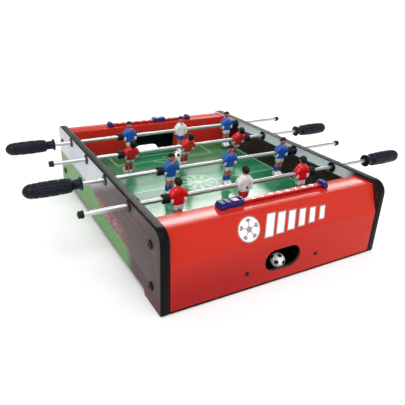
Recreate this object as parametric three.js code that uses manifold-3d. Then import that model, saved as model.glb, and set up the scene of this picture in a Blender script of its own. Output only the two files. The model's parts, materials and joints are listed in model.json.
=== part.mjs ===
// Table-top football game: two side panels joined by two hollow end boxes, a pitch between them and
// four player rods that slide and spin in bushes. Millimetres, +Z up, the game stands on z = 0.
// +X is to the right along the rods, +Y runs from the front end to the rear end.
import * as THREE from 'three';
import { mergeVertices } from 'three/addons/utils/BufferGeometryUtils.js';
import Module from 'manifold-3d';

const wasm = await Module();
wasm.setup();

// ---------------------------------------------------------------- driving dimensions
const BODY_LENGTH = 510;
const BODY_WIDTH = 380;
const PANEL_HEIGHT = 121;
const PANEL_THICKNESS = 13;
const PANEL_CORNER_RADIUS = 20;
const PANEL_EDGE_RADIUS = 3;
const FOOT_LENGTH = 54;
const FOOT_HEIGHT = 9;
const FOOT_STEP_SLOPE = 3;
const GAP = 0.3;

const BOX_WALL = 5;
const BOX_TOP_Z = 116;
const BOX_BOTTOM_Z = 4.5;
const BOX_FOLD_Z = 74;
const BOX_TOP_OUTER_Y = 239;
const BOX_INNER_Y = 202;
const GOAL_HALF_WIDTH = 46;
const GOAL_TOP_Z = 100;
const WINDOW_HALF_WIDTH = 31;
const WINDOW_HALF_HEIGHT = 17;
const WINDOW_Z = 37.5;

const PITCH_Z = 57;
const PITCH_THICKNESS = 4;
const GROOVE_DEPTH = 4;

const TRAY_BASE_BOTTOM_Z = 1.5;
const TRAY_FLOOR_Z = 12;
const TRAY_WALL_TOP_Z = 34;
const TRAY_HALF_WIDTH = 62;
const TRAY_WALL = 2.5;

const ROD_RADIUS = 3.4;
const ROD_AXIS_Z = 112;
const ROD_SPACING = 100;
const RUNNING_BORE = 3.58;
const PLAYER_SPACING = 113;
const PLAYER_HALF_HUB = 14;
const HUB_BORE = 3.9;
const BUMPER_RADIUS = 7.3;
const BUMPER_LENGTH = 10;
const BUSH_FLANGE_RADIUS = 8.7;
const BUSH_BARREL_RADIUS = 5.7;
const BUSH_HOLE_RADIUS = 6.3;
const BUSH_OUTER_FLANGE = 2.2;
const BUSH_INNER_FLANGE = 1.8;
const CAP_RADIUS = 5.3;
const CAP_LENGTH = 7.5;
const CAP_START = 247.5;
const HANDLE_START = 258.5;
const HANDLE_LENGTH = 84;
const HANDLE_SOCKET = 56;

const BOLT_HEAD_RADIUS = 5.5;
const BOLT_HEAD_HEIGHT = 2.4;
const BOLT_SHANK_RADIUS = 3;
const BOLT_Y = 225;
const BOLT_LOW_Z = 30;
const BOLT_HIGH_Z = 92;

const SCORER_Y = 215;
const SCORER_X = 4.5;
const SCORER_CLIP_X = 89;
const SCORER_CLIP_WIDTH = 10;
const SCORER_CLIP_DEPTH = 19;
const SCORER_HEIGHT = 9;
const SCORER_BAR_DEPTH = 8.4;
const SCORER_BAR_TOP = 5.4;
const SLIDER_LENGTH = 28;
const SLIDER_DEPTH = 14;

const BALL_RADIUS = 11;

// Number of flats on turned parts.
const TURNED_SIDES = 12;

// Each rod, front to rear: its team, how far it is pushed to +X, and how far its feet swing to +Y.
const RODS = [
  { team: 'red', offset: -3, tilt: 0 },
  { team: 'blue', offset: 33, tilt: 8 },
  { team: 'red', offset: 3, tilt: 27 },
  { team: 'blue', offset: 37.5, tilt: 0 },
];
const FRONT_SLIDER_X = -65;
const REAR_SLIDER_X = 15.5;
const TRAY_BALL = [4, -238.6];
const PITCH_BALL = [12, 115];

// ---------------------------------------------------------------- derived dimensions
const HALF_LENGTH = BODY_LENGTH / 2;
const HALF_WIDTH = BODY_WIDTH / 2;
const WALL_X = HALF_WIDTH - PANEL_THICKNESS;
const INSIDE_X = WALL_X - GAP;
const HANDLE_TIP = HANDLE_START + HANDLE_LENGTH;
const teamSide = (team) => (team === 'red' ? 1 : -1);
function tipsOf(side) {
  const rods = RODS.filter((rod) => teamSide(rod.team) === side);
  return rods.map((rod) => rod.offset + side * HANDLE_TIP);
}
// The rods reach further on one side, so the body is set off from the origin by half the difference.
const BODY_X = -(Math.max(...tipsOf(1)) + Math.min(...tipsOf(-1))) / 2;

// ---------------------------------------------------------------- colours
function finish(color, roughness, metalness = 0) {
  return new THREE.MeshStandardMaterial({ color, roughness, metalness });
}
const MATERIALS = {
  panel: () => finish(0x3a2a26, 0.25),
  red: () => finish(0xd3180f, 0.3),
  pitch: () => finish(0x1e7a38, 0.35),
  black: () => finish(0x111214, 0.45),
  rubber: () => finish(0x15161a, 0.7),
  chrome: () => finish(0xd8dadd, 0.18, 1),
  steel: () => finish(0x1b1c1e, 0.4, 0.8),
  blue: () => finish(0x1b3fa8, 0.3),
  redTeam: () => finish(0xcc1515, 0.5),
  blueTeam: () => finish(0x1c4fc0, 0.5),
  keeper: () => finish(0xe8e8e6, 0.5),
  ball: () => finish(0xf2f2ee, 0.35),
};

// ---------------------------------------------------------------- solids
function toSolid(geometry) {
  const bare = geometry.clone();
  bare.deleteAttribute('normal');
  bare.deleteAttribute('uv');
  const merged = mergeVertices(bare, 1e-4);
  return new wasm.Manifold(new wasm.Mesh({
    numProp: 3,
    vertProperties: new Float32Array(merged.attributes.position.array),
    triVerts: new Uint32Array(merged.index.array),
  }));
}

function toGeometry(solid) {
  const mesh = solid.getMesh();
  const geometry = new THREE.BufferGeometry();
  geometry.setAttribute('position', new THREE.BufferAttribute(mesh.vertProperties, 3));
  geometry.setIndex(new THREE.BufferAttribute(mesh.triVerts, 1));
  geometry.computeVertexNormals();
  return geometry;
}

function block(x0, x1, y0, y1, z0, z1) {
  const geometry = new THREE.BoxGeometry(x1 - x0, y1 - y0, z1 - z0);
  geometry.translate((x0 + x1) / 2, (y0 + y1) / 2, (z0 + z1) / 2);
  return toSolid(geometry);
}

// A closed outline whose corners are rounded by their own radius: points are [u, v, radius].
function outline(points, PathClass = THREE.Shape) {
  const shape = new PathClass();
  const corners = points.map(([u, v, radius = 0]) => ({ at: new THREE.Vector2(u, v), radius }));
  corners.forEach((corner, i) => {
    const before = corners[(i + corners.length - 1) % corners.length].at;
    const after = corners[(i + 1) % corners.length].at;
    const toBefore = before.clone().sub(corner.at).normalize();
    const toAfter = after.clone().sub(corner.at).normalize();
    const reach = corner.radius / Math.tan(Math.acos(toBefore.dot(toAfter)) / 2);
    const start = corner.at.clone().addScaledVector(toBefore, reach);
    const end = corner.at.clone().addScaledVector(toAfter, reach);
    if (i === 0) shape.moveTo(start.x, start.y);
    else shape.lineTo(start.x, start.y);
    if (corner.radius > 0) shape.quadraticCurveTo(corner.at.x, corner.at.y, end.x, end.y);
  });
  shape.closePath();
  return shape;
}

function circleHole(u, v, radius) {
  const path = new THREE.Path();
  path.absarc(u, v, radius, 0, 2 * Math.PI, true);
  return path;
}

function extrude(shape, from, to, curveSegments) {
  const geometry = new THREE.ExtrudeGeometry(shape, { depth: to - from, bevelEnabled: false, curveSegments });
  geometry.translate(0, 0, from);
  return geometry;
}

// Section drawn in Y (across) and Z (up), run along X.
function runAlongX(shape, from, to, curveSegments = 4) {
  const turn = new THREE.Matrix4().makeBasis(
    new THREE.Vector3(0, 1, 0), new THREE.Vector3(0, 0, 1), new THREE.Vector3(1, 0, 0));
  return toSolid(extrude(shape, from, to, curveSegments).applyMatrix4(turn));
}

// Outline drawn in X (across) and Z (up), run along Y.
function runAlongY(shape, from, to, curveSegments = 4) {
  const geometry = extrude(shape, -to, -from, curveSegments);
  return toSolid(geometry.rotateX(Math.PI / 2));
}

// Profile points are [position along X, radius].
function turnedAboutX(profile, sides) {
  const points = profile.map(([along, radius]) => new THREE.Vector2(radius, along));
  const geometry = new THREE.LatheGeometry(points, sides);
  return geometry.rotateZ(-Math.PI / 2);
}

// A ring turned about X: the profile returns along its bore.
function turnedRing(profile, bore, sides) {
  const first = profile[0][0];
  const last = profile[profile.length - 1][0];
  const loop = [[first, bore], ...profile, [last, bore], [first, bore]];
  return turnedAboutX(loop, sides);
}

function turnedPlug(profile, sides) {
  const first = profile[0][0];
  const last = profile[profile.length - 1][0];
  return turnedAboutX([[first, 0], ...profile, [last, 0]], sides);
}

// ---------------------------------------------------------------- body
function panelOutline() {
  const foot = HALF_LENGTH - FOOT_LENGTH;
  const points = [
    [-HALF_LENGTH, 0, PANEL_EDGE_RADIUS],
    [-foot, 0],
    [-foot + FOOT_STEP_SLOPE, FOOT_HEIGHT],
    [foot - FOOT_STEP_SLOPE, FOOT_HEIGHT],
    [foot, 0],
    [HALF_LENGTH, 0, PANEL_EDGE_RADIUS],
    [HALF_LENGTH, PANEL_HEIGHT, PANEL_CORNER_RADIUS],
    [-HALF_LENGTH, PANEL_HEIGHT, PANEL_CORNER_RADIUS],
  ];
  return outline(points);
}

const rodY = (i) => (i - (RODS.length - 1) / 2) * ROD_SPACING;

function sidePanel(side) {
  const shape = panelOutline();
  RODS.forEach((rod, i) => shape.holes.push(circleHole(rodY(i), ROD_AXIS_Z, BUSH_HOLE_RADIUS)));
  for (const y of [-BOLT_Y, BOLT_Y]) {
    for (const z of [BOLT_LOW_Z, BOLT_HIGH_Z]) shape.holes.push(circleHole(y, z, BOLT_SHANK_RADIUS + GAP));
  }
  const faces = [side * WALL_X, side * HALF_WIDTH].sort((a, b) => a - b);
  const panel = runAlongX(shape, faces[0], faces[1], 6);
  const grooveEnds = [side * (WALL_X - 1), side * (WALL_X + GROOVE_DEPTH + GAP)].sort((a, b) => a - b);
  const groove = block(grooveEnds[0], grooveEnds[1], -BOX_INNER_Y, BOX_INNER_Y,
    PITCH_Z - PITCH_THICKNESS - GAP, PITCH_Z + GAP);
  return toGeometry(panel.subtract(groove));
}

// The end box is one folded skin: front face, sloping upper face, top and inner goal wall.
function endBoxSection() {
  const w = BOX_WALL;
  return outline([
    [-HALF_LENGTH, BOX_BOTTOM_Z],
    [-HALF_LENGTH + w, BOX_BOTTOM_Z],
    [-HALF_LENGTH + w, BOX_FOLD_Z - 1],
    [-BOX_TOP_OUTER_Y + w * 0.7, BOX_TOP_Z - w],
    [-BOX_INNER_Y - w, BOX_TOP_Z - w],
    [-BOX_INNER_Y - w, BOX_BOTTOM_Z],
    [-BOX_INNER_Y, BOX_BOTTOM_Z],
    [-BOX_INNER_Y, BOX_TOP_Z, 2],
    [-BOX_TOP_OUTER_Y, BOX_TOP_Z, 2],
    [-HALF_LENGTH, BOX_FOLD_Z, 3],
  ]);
}

function endBox() {
  const skin = runAlongX(endBoxSection(), -INSIDE_X, INSIDE_X, 3);
  const goal = outline([
    [-GOAL_HALF_WIDTH, PITCH_Z],
    [GOAL_HALF_WIDTH, PITCH_Z],
    [GOAL_HALF_WIDTH, GOAL_TOP_Z, 4],
    [-GOAL_HALF_WIDTH, GOAL_TOP_Z, 4],
  ]);
  const window = new THREE.Shape();
  const straight = WINDOW_HALF_WIDTH - WINDOW_HALF_HEIGHT;
  window.absarc(straight, WINDOW_Z, WINDOW_HALF_HEIGHT, -Math.PI / 2, Math.PI / 2, false);
  window.absarc(-straight, WINDOW_Z, WINDOW_HALF_HEIGHT, Math.PI / 2, Math.PI * 1.5, false);
  const goalCut = runAlongY(goal, -BOX_INNER_Y - BOX_WALL - 1, -BOX_INNER_Y + 1, 3);
  const windowCut = runAlongY(window, -HALF_LENGTH - 1, -HALF_LENGTH + BOX_WALL + 1, 7);
  return toGeometry(skin.subtract(goalCut).subtract(windowCut));
}

function playfield() {
  const halfWidth = WALL_X + GROOVE_DEPTH;
  const end = BOX_INNER_Y - GAP;
  return toGeometry(block(-halfWidth, halfWidth, -end, end, PITCH_Z - PITCH_THICKNESS, PITCH_Z));
}

// The tray closes the end box from below; its trough catches the ball behind the window.
function ballTray() {
  const front = -HALF_LENGTH + BOX_WALL + 2 * GAP;
  const back = -BOX_INNER_Y - BOX_WALL - 2 * GAP;
  const baseTop = BOX_BOTTOM_Z - GAP;
  const base = block(-INSIDE_X, INSIDE_X, -HALF_LENGTH + 0.4, -BOX_INNER_Y, TRAY_BASE_BOTTOM_Z, baseTop);
  const trough = runAlongX(outline([
    [front, baseTop - 1],
    [back, baseTop - 1],
    [back, TRAY_WALL_TOP_Z],
    [back - TRAY_WALL, TRAY_WALL_TOP_Z],
    [back - TRAY_WALL, TRAY_FLOOR_Z],
    [front, TRAY_FLOOR_Z],
  ]), -TRAY_HALF_WIDTH, TRAY_HALF_WIDTH);
  let tray = base.add(trough);
  for (const side of [-1, 1]) {
    const ends = [side * (TRAY_HALF_WIDTH - TRAY_WALL), side * TRAY_HALF_WIDTH].sort((a, b) => a - b);
    tray = tray.add(block(ends[0], ends[1], front, back, baseTop - 1, TRAY_WALL_TOP_Z));
  }
  return toGeometry(tray);
}

// Two panel bolts and the steel nut plate that they thread into, inside the end box.
function cornerBolts() {
  const plate = block(-INSIDE_X, -INSIDE_X + 3, -BOLT_Y - 9, -BOLT_Y + 9, BOLT_LOW_Z - 9, BOLT_HIGH_Z + 9);
  let bolts = plate;
  for (const z of [BOLT_LOW_Z, BOLT_HIGH_Z]) {
    const head = -HALF_WIDTH - GAP;
    const bolt = turnedPlug([
      [head - BOLT_HEAD_HEIGHT, BOLT_HEAD_RADIUS * 0.7],
      [head, BOLT_HEAD_RADIUS],
      [head, BOLT_SHANK_RADIUS],
      [-INSIDE_X + 1, BOLT_SHANK_RADIUS],
    ], 10);
    bolts = bolts.add(toSolid(bolt.translate(0, -BOLT_Y, z)));
  }
  return toGeometry(bolts);
}

// ---------------------------------------------------------------- rods and what is on them
function rodBush() {
  return turnedRing([
    [-HALF_WIDTH - BUSH_OUTER_FLANGE, BUSH_FLANGE_RADIUS],
    [-HALF_WIDTH - GAP / 2, BUSH_FLANGE_RADIUS],
    [-HALF_WIDTH - GAP / 2, BUSH_BARREL_RADIUS],
    [-WALL_X + GAP / 2, BUSH_BARREL_RADIUS],
    [-WALL_X + GAP / 2, BUSH_FLANGE_RADIUS],
    [-WALL_X + BUSH_INNER_FLANGE, BUSH_FLANGE_RADIUS],
  ], RUNNING_BORE, TURNED_SIDES);
}

function rod() {
  return turnedPlug([
    [-CAP_START - CAP_LENGTH + 2, ROD_RADIUS],
    [HANDLE_START + HANDLE_SOCKET - GAP, ROD_RADIUS],
  ], TURNED_SIDES);
}

function endCap() {
  const tip = CAP_START + CAP_LENGTH;
  return turnedAboutX([
    [-tip, 0],
    [-tip, CAP_RADIUS - 1.2],
    [-tip + 1.2, CAP_RADIUS],
    [-CAP_START, CAP_RADIUS],
    [-CAP_START, ROD_RADIUS + GAP],
    [-tip + 1.6, ROD_RADIUS + GAP],
    [-tip + 1.6, 0],
  ], TURNED_SIDES);
}

// The hand grip: a flange, a thin neck, a swelling grip and a domed end.
function handle() {
  const at = (distance) => HANDLE_START + distance;
  return turnedAboutX([
    [at(HANDLE_SOCKET), 0],
    [at(HANDLE_SOCKET), ROD_RADIUS + GAP],
    [at(0), ROD_RADIUS + GAP],
    [at(0), 10],
    [at(0.8), 10.8],
    [at(2.6), 10.8],
    [at(3.6), 7.8],
    [at(15), 7.6],
    [at(17), 11],
    [at(45), 11.8],
    [at(70), 11],
    [at(79), 8.4],
    [at(HANDLE_LENGTH), 0],
  ], TURNED_SIDES);
}

function bumper() {
  const from = PLAYER_SPACING + PLAYER_HALF_HUB + 0.4;
  return turnedRing([
    [from, BUMPER_RADIUS],
    [from + BUMPER_LENGTH, BUMPER_RADIUS],
  ], RUNNING_BORE, TURNED_SIDES);
}

// A player on the rod's axis, facing -Y: boots, legs, shorts, shirt with sleeves round the rod, head.
const PLAYER = {
  soleZ: -48,
  bootTopZ: -41,
  shortsZ: -22,
  hemZ: -10,
  shoulderZ: 15,
  headZ: 22,
  headRadius: 7,
};

function player() {
  const p = PLAYER;
  const front = runAlongY(outline([
    [-6.2, p.bootTopZ - 1],
    [6.2, p.bootTopZ - 1],
    [7.8, p.shortsZ],
    [8.8, p.hemZ],
    [11.5, p.shoulderZ - 4],
    [3.2, p.shoulderZ + 3],
    [-3.2, p.shoulderZ + 3],
    [-11.5, p.shoulderZ - 4],
    [-8.8, p.hemZ],
    [-7.8, p.shortsZ],
  ]), -9, 9);
  const side = runAlongX(outline([
    [-3.6, p.bootTopZ - 1],
    [3.6, p.bootTopZ - 1],
    [5, p.shortsZ],
    [6.6, p.hemZ],
    [6, p.shoulderZ - 4],
    [2.6, p.shoulderZ + 3],
    [-2.6, p.shoulderZ + 3],
    [-6, p.shoulderZ - 4],
    [-6.6, p.hemZ],
    [-5, p.shortsZ],
  ]), -16, 16);
  const boots = runAlongX(outline([
    [-9, p.soleZ],
    [4, p.soleZ],
    [4, p.bootTopZ],
    [-3.6, p.bootTopZ],
    [-9, p.bootTopZ - 3.5],
  ]), -7.2, 7.2);
  const sleeves = toSolid(turnedPlug([[-PLAYER_HALF_HUB, 6.2], [PLAYER_HALF_HUB, 6.2]], 10));
  const headGeometry = new THREE.SphereGeometry(p.headRadius, 8, 5);
  headGeometry.rotateX(Math.PI / 2).scale(0.9, 0.95, 1).translate(0, 0, p.headZ);
  const bore = toSolid(turnedPlug([[-20, HUB_BORE], [20, HUB_BORE]], 10));
  const body = front.intersect(side).add(boots).add(sleeves).add(toSolid(headGeometry));
  return toGeometry(body.subtract(bore));
}

// ---------------------------------------------------------------- scorers
function scorerTrack() {
  const low = BOX_TOP_Z + GAP;
  const halfDepth = SCORER_BAR_DEPTH / 2;
  let track = block(-SCORER_CLIP_X, SCORER_CLIP_X, -halfDepth, halfDepth, low, low + 0.8);
  for (const side of [-1, 1]) {
    const centre = side * SCORER_CLIP_X;
    const half = SCORER_CLIP_WIDTH / 2;
    const clip = runAlongY(outline([
      [centre - half, low],
      [centre + half, low],
      [centre + half, low + SCORER_HEIGHT, 3],
      [centre - half, low + SCORER_HEIGHT, 3],
    ]), -SCORER_CLIP_DEPTH / 2, SCORER_CLIP_DEPTH / 2, 3);
    track = track.add(clip);
  }
  return toGeometry(track);
}

function scorerNumbers() {
  const end = SCORER_CLIP_X - SCORER_CLIP_WIDTH / 2 - GAP;
  const low = BOX_TOP_Z + 0.8 + 2 * GAP;
  const half = SCORER_BAR_DEPTH / 2;
  return toGeometry(block(-end, end, -half, half, low, BOX_TOP_Z + SCORER_BAR_TOP));
}

// A saddle that straddles the number bar, with a recessed reading window on top.
function scorerSlider() {
  const half = SLIDER_DEPTH / 2;
  const inside = SCORER_BAR_DEPTH / 2 + GAP;
  const low = BOX_TOP_Z + GAP;
  const roof = BOX_TOP_Z + SCORER_BAR_TOP + GAP;
  const top = low + SCORER_HEIGHT;
  const saddle = runAlongX(outline([
    [-half, low],
    [-inside, low],
    [-inside, roof],
    [inside, roof],
    [inside, low],
    [half, low],
    [half, top, 2],
    [-half, top, 2],
  ]), -SLIDER_LENGTH / 2, SLIDER_LENGTH / 2, 3);
  const reading = block(-8, 8, -3.2, 3.2, top - 1.4, top + 1);
  return toGeometry(saddle.subtract(reading));
}

const ball = () => new THREE.IcosahedronGeometry(BALL_RADIUS, 2);

// ---------------------------------------------------------------- assembly
const table = new THREE.Group();
table.position.x = BODY_X;

function place(parent, name, geometry, material) {
  const mesh = new THREE.Mesh(geometry, material());
  mesh.name = name;
  parent.add(mesh);
  return mesh;
}

// A group turned half round about Z when it belongs to the rear end.
function endGroup(end) {
  const group = new THREE.Group();
  if (end === 'rear') group.rotation.z = Math.PI;
  table.add(group);
  return group;
}

function addEnd(end, sliderX) {
  const group = endGroup(end);
  const turned = end === 'rear' ? -1 : 1;
  place(group, `${end}_end_box`, endBox(), MATERIALS.red);
  place(group, `${end}_ball_tray`, ballTray(), MATERIALS.black);
  const track = place(group, `${end}_scorer_track`, scorerTrack(), MATERIALS.blue);
  track.position.set(SCORER_X, -SCORER_Y, 0);
  const numbers = place(group, `${end}_scorer_numbers`, scorerNumbers(), MATERIALS.red);
  numbers.position.set(SCORER_X, -SCORER_Y, 0);
  const slider = place(group, `${end}_scorer_slider`, scorerSlider(), MATERIALS.blue);
  slider.position.set(turned * sliderX, -SCORER_Y, 0);
}

function addCornerBolts() {
  const corners = [
    ['front_left', 1, 1],
    ['front_right', -1, 1],
    ['rear_left', 1, -1],
    ['rear_right', -1, -1],
  ];
  for (const [corner, flipX, flipY] of corners) {
    // Left front as drawn; right front and left rear are the same piece turned upside down about Y or X.
    const geometry = cornerBolts();
    const mid = BOLT_LOW_Z + BOLT_HIGH_Z;
    if (flipX < 0) geometry.rotateY(Math.PI).translate(0, 0, mid);
    if (flipY < 0) geometry.rotateX(Math.PI).translate(0, 0, mid);
    place(table, `${corner}_bolts`, geometry, MATERIALS.steel);
  }
}

function addBushes(i) {
  for (const [name, turn] of [['left', 0], ['right', Math.PI]]) {
    const bush = place(table, `rod_${i + 1}_${name}_bush`, rodBush(), MATERIALS.black);
    bush.position.set(0, rodY(i), ROD_AXIS_Z);
    bush.rotation.z = turn;
  }
}

// Rod parts are drawn with the handle at +X; a blue rod is the same assembly turned half round.
function addRod(i) {
  const { team, offset, tilt } = RODS[i];
  const label = `rod_${i + 1}`;
  const group = new THREE.Group();
  group.position.set(offset, rodY(i), ROD_AXIS_Z);
  group.rotation.x = THREE.MathUtils.degToRad(tilt);
  table.add(group);
  const side = teamSide(team);
  const turn = side > 0 ? 0 : Math.PI;
  const parts = [[label, rod(), MATERIALS.chrome], [`${label}_handle`, handle(), MATERIALS.black],
    [`${label}_end_cap`, endCap(), MATERIALS.black]];
  for (const [name, geometry, material] of parts) place(group, name, geometry, material).rotation.z = turn;
  for (const [name, bumperTurn] of [['left', Math.PI], ['right', 0]]) {
    place(group, `${label}_${name}_bumper`, bumper(), MATERIALS.rubber).rotation.z = bumperTurn;
  }
  const shirt = team === 'red' ? MATERIALS.redTeam : MATERIALS.blueTeam;
  const keeperRod = i === 0 || i === RODS.length - 1;
  ['left', 'middle', 'right'].forEach((position, k) => {
    const isKeeper = keeperRod && position === 'middle';
    const figure = place(group, `${label}_${position}_player`, player(), isKeeper ? MATERIALS.keeper : shirt);
    figure.position.x = (k - 1) * PLAYER_SPACING;
    figure.rotation.z = side > 0 ? Math.PI : 0;
  });
}

place(table, 'left_side_panel', sidePanel(-1), MATERIALS.panel);
place(table, 'right_side_panel', sidePanel(1), MATERIALS.panel);
place(table, 'playfield', playfield(), MATERIALS.pitch);
addEnd('front', FRONT_SLIDER_X);
addEnd('rear', REAR_SLIDER_X);
addCornerBolts();
RODS.forEach((rodSpec, i) => {
  addBushes(i);
  addRod(i);
});
const trayBall = place(table, 'tray_ball', ball(), MATERIALS.ball);
trayBall.position.set(...TRAY_BALL, TRAY_FLOOR_Z + BALL_RADIUS + GAP);
const pitchBall = place(table, 'pitch_ball', ball(), MATERIALS.ball);
pitchBall.position.set(...PITCH_BALL, PITCH_Z + BALL_RADIUS + GAP);

export default table;
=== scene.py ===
import json
import math

import bmesh
import bpy
from mathutils import Matrix, Vector


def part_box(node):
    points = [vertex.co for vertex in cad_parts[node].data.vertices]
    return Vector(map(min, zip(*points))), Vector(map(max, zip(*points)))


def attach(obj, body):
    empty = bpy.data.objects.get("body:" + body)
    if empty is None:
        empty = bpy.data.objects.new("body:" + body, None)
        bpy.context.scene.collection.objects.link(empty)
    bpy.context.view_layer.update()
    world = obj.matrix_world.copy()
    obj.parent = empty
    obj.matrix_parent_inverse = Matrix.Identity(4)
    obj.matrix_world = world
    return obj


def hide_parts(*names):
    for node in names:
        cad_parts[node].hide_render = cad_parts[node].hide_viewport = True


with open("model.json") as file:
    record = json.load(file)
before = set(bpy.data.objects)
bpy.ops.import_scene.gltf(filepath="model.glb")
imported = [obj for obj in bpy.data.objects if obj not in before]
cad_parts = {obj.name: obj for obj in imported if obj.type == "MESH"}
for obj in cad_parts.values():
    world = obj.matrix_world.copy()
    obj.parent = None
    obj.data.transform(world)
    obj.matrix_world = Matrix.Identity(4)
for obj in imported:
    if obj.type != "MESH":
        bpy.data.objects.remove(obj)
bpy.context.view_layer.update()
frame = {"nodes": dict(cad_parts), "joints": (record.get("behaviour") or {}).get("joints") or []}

# Lengths are millimetres until a mesh is made. Those of the lamps and the camera are metres.
MM = 0.001


# ------------------------------------------------------------------ sizes from the frame
def node_box(node):
    low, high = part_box(node)
    return low / MM, high / MM


LEFT_LOW, LEFT_HIGH = node_box("left_side_panel")
RIGHT_HIGH = node_box("right_side_panel")[1]
BOX_LOW, BOX_HIGH = node_box("front_end_box")
PITCH_HIGH = node_box("playfield")[1]
BAR_LOW, BAR_HIGH = node_box("front_scorer_numbers")
TRACK_LOW, TRACK_HIGH = node_box("front_scorer_track")

BODY_X = (LEFT_LOW.x + RIGHT_HIGH.x) / 2
HALF_WIDTH = (RIGHT_HIGH.x - LEFT_LOW.x) / 2
HALF_LENGTH = LEFT_HIGH.y
PANEL_HEIGHT = LEFT_HIGH.z
PANEL_THICKNESS = LEFT_HIGH.x - LEFT_LOW.x
WALL_X = HALF_WIDTH - PANEL_THICKNESS
BOX_HALF_WIDTH = (BOX_HIGH.x - BOX_LOW.x) / 2
BOX_TOP_Z = BOX_HIGH.z
BOX_INNER_Y = -BOX_HIGH.y
PITCH_Z = PITCH_HIGH.z
SCORER_Y = -(BAR_LOW.y + BAR_HIGH.y) / 2

# ------------------------------------------------------------------ sizes of the detail
CORNER_RADIUS = 20
FOOT_LENGTH = 54
FOOT_HEIGHT = 9
FOOT_STEP_SLOPE = 3
EDGING = 1.5
BOX_WALL = 5
BOX_FOLD_Z = 74
BOX_TOP_OUTER_Y = 239
GOAL_HALF_WIDTH = 46
GOAL_TOP_Z = 100
WINDOW_HALF_WIDTH = 31
WINDOW_HALF_HEIGHT = 17
WINDOW_Z = 37.5
ROD_RADIUS = 3.4
RUNNING_BORE = 3.6
PLAYER_SPACING = 113
TRAY_SCREW_X = 61.4
TRAY_SCREW_Z = 28.5
BOLT_Y = 225
BOLT_HEIGHTS = (30, 92)
BALL_RADIUS = 11

# Each rod, front to rear: its team and how far its feet swing to the rear.
RODS = [("red", 0), ("blue", 8), ("red", 27), ("blue", 0)]

HALF_TURN = Matrix.Rotation(math.pi, 4, "Z")
FRONT = Matrix.Translation((BODY_X, 0, 0))
ENDS = {"front": FRONT, "rear": FRONT @ HALF_TURN}


def facing_x(side):
    """Turns what points along +X to point along -X where side is negative."""
    return Matrix.Identity(4) if side > 0 else HALF_TURN


# ------------------------------------------------------------------ meshes
def put(name, data):
    """A new object in the scene."""
    thing = bpy.data.objects.new(name, data)
    bpy.context.scene.collection.objects.link(thing)
    return thing


def curve_mesh(curve):
    holder = bpy.data.objects.new("curve", curve)
    mesh = bpy.data.meshes.new_from_object(holder)
    bpy.data.objects.remove(holder)
    return mesh


def smooth(mesh, crease=40):
    """Smooth shading, with edges sharper than crease degrees kept sharp."""
    mesh.shade_smooth()
    mesh.set_sharp_from_angle(angle=math.radians(crease))


class Shape:
    """Points in millimetres, and faces that each have the number of a finish."""

    def __init__(self):
        self.points, self.faces, self.finishes = [], [], []

    def add(self, points, faces, finish=0, place=None):
        first = len(self.points)
        place = place or Matrix.Identity(4)
        self.points += [place @ Vector(point) for point in points]
        self.faces += [[first + i for i in face] for face in faces]
        self.finishes += [finish] * len(faces)

    def skin(self, rings, finish=0, place=None, closed=False):
        """Joins rings of equally many points. The ends are capped, or join each other if closed."""
        count = len(rings[0])
        last = (len(rings) - 1) * count
        faces = []
        for i in range(len(rings) if closed else len(rings) - 1):
            here, there = i * count, (i + 1) % len(rings) * count
            for j in range(count):
                k = (j + 1) % count
                faces.append([here + j, here + k, there + k, there + j])
        if not closed:
            faces.append(list(range(count)))
            faces.append(list(range(last, last + count)))
        self.add([point for ring in rings for point in ring], faces, finish, place)

    def add_mesh(self, mesh, finish=0, place=None):
        self.add([v.co for v in mesh.vertices], [p.vertices for p in mesh.polygons], finish, place)


def outline(corners, steps=6):
    """A closed outline through (u, v) or (u, v, radius) corners, rounded by arcs."""
    points = []
    for i, corner in enumerate(corners):
        at = Vector(corner[:2])
        radius = corner[2] if len(corner) > 2 else 0
        if not radius:
            points.append(tuple(at))
            continue
        before = (Vector(corners[i - 1][:2]) - at).normalized()
        after = (Vector(corners[(i + 1) % len(corners)][:2]) - at).normalized()
        half = before.angle(after) / 2
        centre = at + (before + after).normalized() * radius / math.sin(half)
        start = at + before * radius / math.tan(half) - centre
        end = at + after * radius / math.tan(half) - centre
        turn = math.atan2(start.x * end.y - start.y * end.x, start.dot(end))
        first = math.atan2(start.y, start.x)
        for k in range(steps + 1):
            angle = first + turn * k / steps
            points.append((centre.x + radius * math.cos(angle), centre.y + radius * math.sin(angle)))
    return points


def circle(u, v, radius, sides=40):
    angles = [2 * math.pi * i / sides for i in range(sides)]
    return [(u + radius * math.cos(a), v + radius * math.sin(a)) for a in angles]


def slot_outline(half_width, half_height, v, sides=24):
    """An opening with straight edges and half-round ends."""
    straight = half_width - half_height
    points = []
    for i in range(2 * sides):
        angle = -math.pi / 2 + math.pi * (i + 0.5) / sides
        centre = straight if i < sides else -straight
        points.append((centre + half_height * math.cos(angle), v + half_height * math.sin(angle)))
    return points


def turned(profile, sides=48, swell=None):
    """Rings about the X axis through (along, radius) points; swell(i, angle) scales a radius."""
    rings = []
    for i, (along, radius) in enumerate(profile):
        ring = []
        for j in range(sides):
            angle = 2 * math.pi * j / sides
            r = radius * (swell(i, angle) if swell else 1)
            ring.append((along, r * math.cos(angle), r * math.sin(angle)))
        rings.append(ring)
    return rings


def oval(across, up, half_across, half_up, squareness=0.0, sides=20):
    """Points round an oval that squareness, 0 to 1, turns into a rounded rectangle."""
    power = 2 / (2 + 4 * squareness)
    points = []
    for j in range(sides):
        angle = 2 * math.pi * j / sides
        c, s = math.cos(angle), math.sin(angle)
        points.append((across + half_across * math.copysign(abs(c) ** power, c),
                       up + half_up * math.copysign(abs(s) ** power, s)))
    return points


def upright(sections, squareness=0.15, sides=20):
    """Rings up Z from (z, x, y, half width, half depth) sections."""
    return [[(u, v, z) for u, v in oval(x, y, w, d, squareness, sides)] for z, x, y, w, d in sections]


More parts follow.
